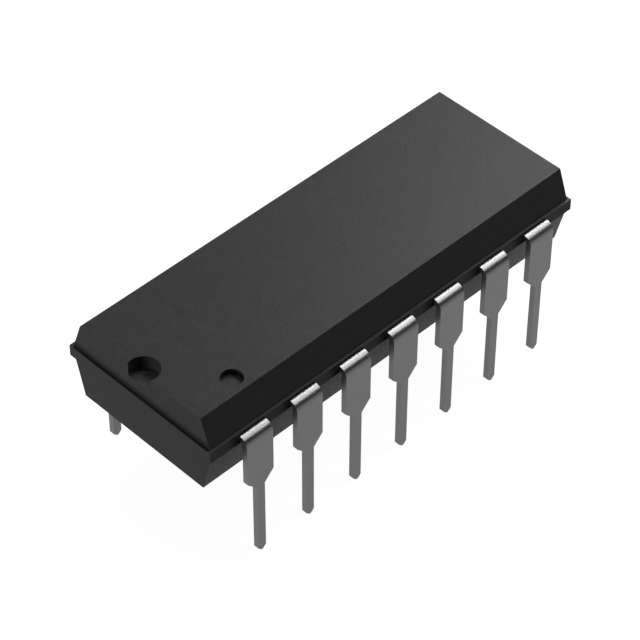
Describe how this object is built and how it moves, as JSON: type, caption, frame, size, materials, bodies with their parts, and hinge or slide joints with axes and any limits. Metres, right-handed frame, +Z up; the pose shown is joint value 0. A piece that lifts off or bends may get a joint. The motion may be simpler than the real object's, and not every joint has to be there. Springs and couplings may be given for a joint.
{
  "type": "dual in-line integrated circuit",
  "caption": "Dual in-line integrated circuit: moulded plastic body with an end notch and a dimple, and two rows of bent leads with wide shoulders and narrow pins.",
  "frame": {"origin": "centre of the footprint at the lead tips, where the part stands", "axes": "+X along the body from the notched end to the far end, +Y across towards leads 8 to 14, +Z up from the lead tips to the top"},
  "size_m": [0.0194, 0.0086, 0.0079],
  "materials": {
    "mould_compound": "black epoxy moulding compound with a fine spark-eroded matt grain",
    "lead_plating": "satin tin plate over copper alloy sheet",
    "paddle_plating": "satin silver plate over copper alloy sheet",
    "die_adhesive": "cured silver-filled epoxy",
    "silicon": "polished silicon with a passivated face",
    "gold_wire": "drawn gold bond wire"
  },
  "bodies": {
    "root": {"moulded_body": "mould_compound", "die_paddle": "paddle_plating", "die_attach": "die_adhesive", "silicon_die": "silicon", "lead_01": "lead_plating", "lead_02": "lead_plating", "lead_03": "lead_plating", "lead_04": "lead_plating", "lead_05": "lead_plating", "lead_06": "lead_plating", "lead_07": "lead_plating", "lead_08": "lead_plating", "lead_09": "lead_plating", "lead_10": "lead_plating", "lead_11": "lead_plating", "lead_12": "lead_plating", "lead_13": "lead_plating", "lead_14": "lead_plating", "bond_wire_01": "gold_wire", "bond_wire_02": "gold_wire", "bond_wire_03": "gold_wire", "bond_wire_04": "gold_wire", "bond_wire_05": "gold_wire", "bond_wire_06": "gold_wire", "bond_wire_07": "gold_wire", "bond_wire_08": "gold_wire", "bond_wire_09": "gold_wire", "bond_wire_10": "gold_wire", "bond_wire_11": "gold_wire", "bond_wire_12": "gold_wire", "bond_wire_13": "gold_wire", "bond_wire_14": "gold_wire"}
  },
  "joints": []
}
